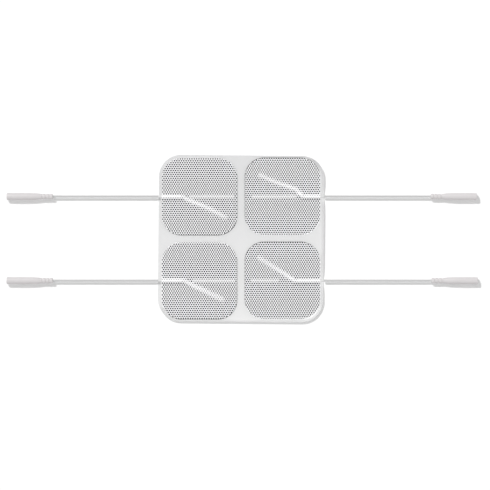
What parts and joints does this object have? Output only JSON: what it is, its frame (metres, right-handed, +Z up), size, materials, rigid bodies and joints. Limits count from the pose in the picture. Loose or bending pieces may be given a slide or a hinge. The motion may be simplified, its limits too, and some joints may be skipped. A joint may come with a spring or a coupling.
{
  "type": "electrode pad set",
  "caption": "Square self-adhesive electrode pads with pigtail leads and moulded pin sockets on a shared release liner, for a nerve or muscle stimulator.",
  "frame": {"origin": "centre of the release liner's underside", "axes": "+X along the leads, to the right pads; +Y from the lower pads to the upper pads; +Z up through the stack, out of the covers"},
  "size_m": [0.3058, 0.108, 0.0047],
  "materials": {
    "release_liner": "frosted clear film",
    "cover_fabric": "matt white, perforated with a close staggered pattern of round holes",
    "retaining_strip": "matt white tape",
    "carbon_film": "satin black",
    "hydrogel": "clear and tacky",
    "lead_insulation": "satin white flexible plastic",
    "conductor": "tinned strands",
    "boot": "satin pinkish-grey moulded plastic",
    "pin_socket": "nickel plated"
  },
  "bodies": {
    "liner": {"release_liner": "release_liner"},
    "pad_1": {"gel_1": "hydrogel", "film_1": "carbon_film", "cover_1": "cover_fabric", "strip_1": "retaining_strip", "lead_tail_1": "lead_insulation", "strands_1": "conductor"},
    "lead_1": {"lead_jacket_1": "lead_insulation", "lead_core_1": "conductor"},
    "plug_1": {"boot_1": "boot", "pin_socket_1": "pin_socket", "core_end_1": "conductor"},
    "pad_2": {"gel_2": "hydrogel", "film_2": "carbon_film", "cover_2": "cover_fabric", "strip_2": "retaining_strip", "lead_tail_2": "lead_insulation", "strands_2": "conductor"},
    "lead_2": {"lead_jacket_2": "lead_insulation", "lead_core_2": "conductor"},
    "plug_2": {"boot_2": "boot", "pin_socket_2": "pin_socket", "core_end_2": "conductor"},
    "pad_3": {"gel_3": "hydrogel", "film_3": "carbon_film", "cover_3": "cover_fabric", "strip_3": "retaining_strip", "lead_tail_3": "lead_insulation", "strands_3": "conductor"},
    "lead_3": {"lead_jacket_3": "lead_insulation", "lead_core_3": "conductor"},
    "plug_3": {"boot_3": "boot", "pin_socket_3": "pin_socket", "core_end_3": "conductor"},
    "pad_4": {"gel_4": "hydrogel", "film_4": "carbon_film", "cover_4": "cover_fabric", "strip_4": "retaining_strip", "lead_tail_4": "lead_insulation", "strands_4": "conductor"},
    "lead_4": {"lead_jacket_4": "lead_insulation", "lead_core_4": "conductor"},
    "plug_4": {"boot_4": "boot", "pin_socket_4": "pin_socket", "core_end_4": "conductor"}
  },
  "joints": [
    {"name": "peel_1", "type": "hinge", "parent": "liner", "child": "pad_1", "pos_m": [-0.00255, 0.0273, 0.0003], "axis": [0, 1, 0], "range_deg": [0, 75]},
    {"name": "lead_bend_1", "type": "hinge", "parent": "pad_1", "child": "lead_1", "pos_m": [-0.05295, 0.0273, 0.00235], "axis": [0, -1, 0], "range_deg": [-90, 40]},
    {"name": "plug_bend_1", "type": "hinge", "parent": "lead_1", "child": "plug_1", "pos_m": [-0.12137, 0.0273, 0.00235], "axis": [0, 0, 1], "range_deg": [-45, 45]},
    {"name": "peel_2", "type": "hinge", "parent": "liner", "child": "pad_2", "pos_m": [0.00255, 0.0273, 0.0003], "axis": [0, -1, 0], "range_deg": [0, 75]},
    {"name": "lead_bend_2", "type": "hinge", "parent": "pad_2", "child": "lead_2", "pos_m": [0.05295, 0.0273, 0.00235], "axis": [0, 1, 0], "range_deg": [-90, 40]},
    {"name": "plug_bend_2", "type": "hinge", "parent": "lead_2", "child": "plug_2", "pos_m": [0.12237, 0.0273, 0.00235], "axis": [0, 0, 1], "range_deg": [-45, 45]},
    {"name": "peel_3", "type": "hinge", "parent": "liner", "child": "pad_3", "pos_m": [-0.00255, -0.0273, 0.0003], "axis": [0, 1, 0], "range_deg": [0, 75]},
    {"name": "lead_bend_3", "type": "hinge", "parent": "pad_3", "child": "lead_3", "pos_m": [-0.05295, -0.0273, 0.00235], "axis": [0, -1, 0], "range_deg": [-90, 40]},
    {"name": "plug_bend_3", "type": "hinge", "parent": "lead_3", "child": "plug_3", "pos_m": [-0.12137, -0.0273, 0.00235], "axis": [0, 0, 1], "range_deg": [-45, 45]},
    {"name": "peel_4", "type": "hinge", "parent": "liner", "child": "pad_4", "pos_m": [0.00255, -0.0273, 0.0003], "axis": [0, -1, 0], "range_deg": [0, 75]},
    {"name": "lead_bend_4", "type": "hinge", "parent": "pad_4", "child": "lead_4", "pos_m": [0.05295, -0.0273, 0.00235], "axis": [0, 1, 0], "range_deg": [-90, 40]},
    {"name": "plug_bend_4", "type": "hinge", "parent": "lead_4", "child": "plug_4", "pos_m": [0.12297, -0.0273, 0.00235], "axis": [0, 0, 1], "range_deg": [-45, 45]}
  ]
}
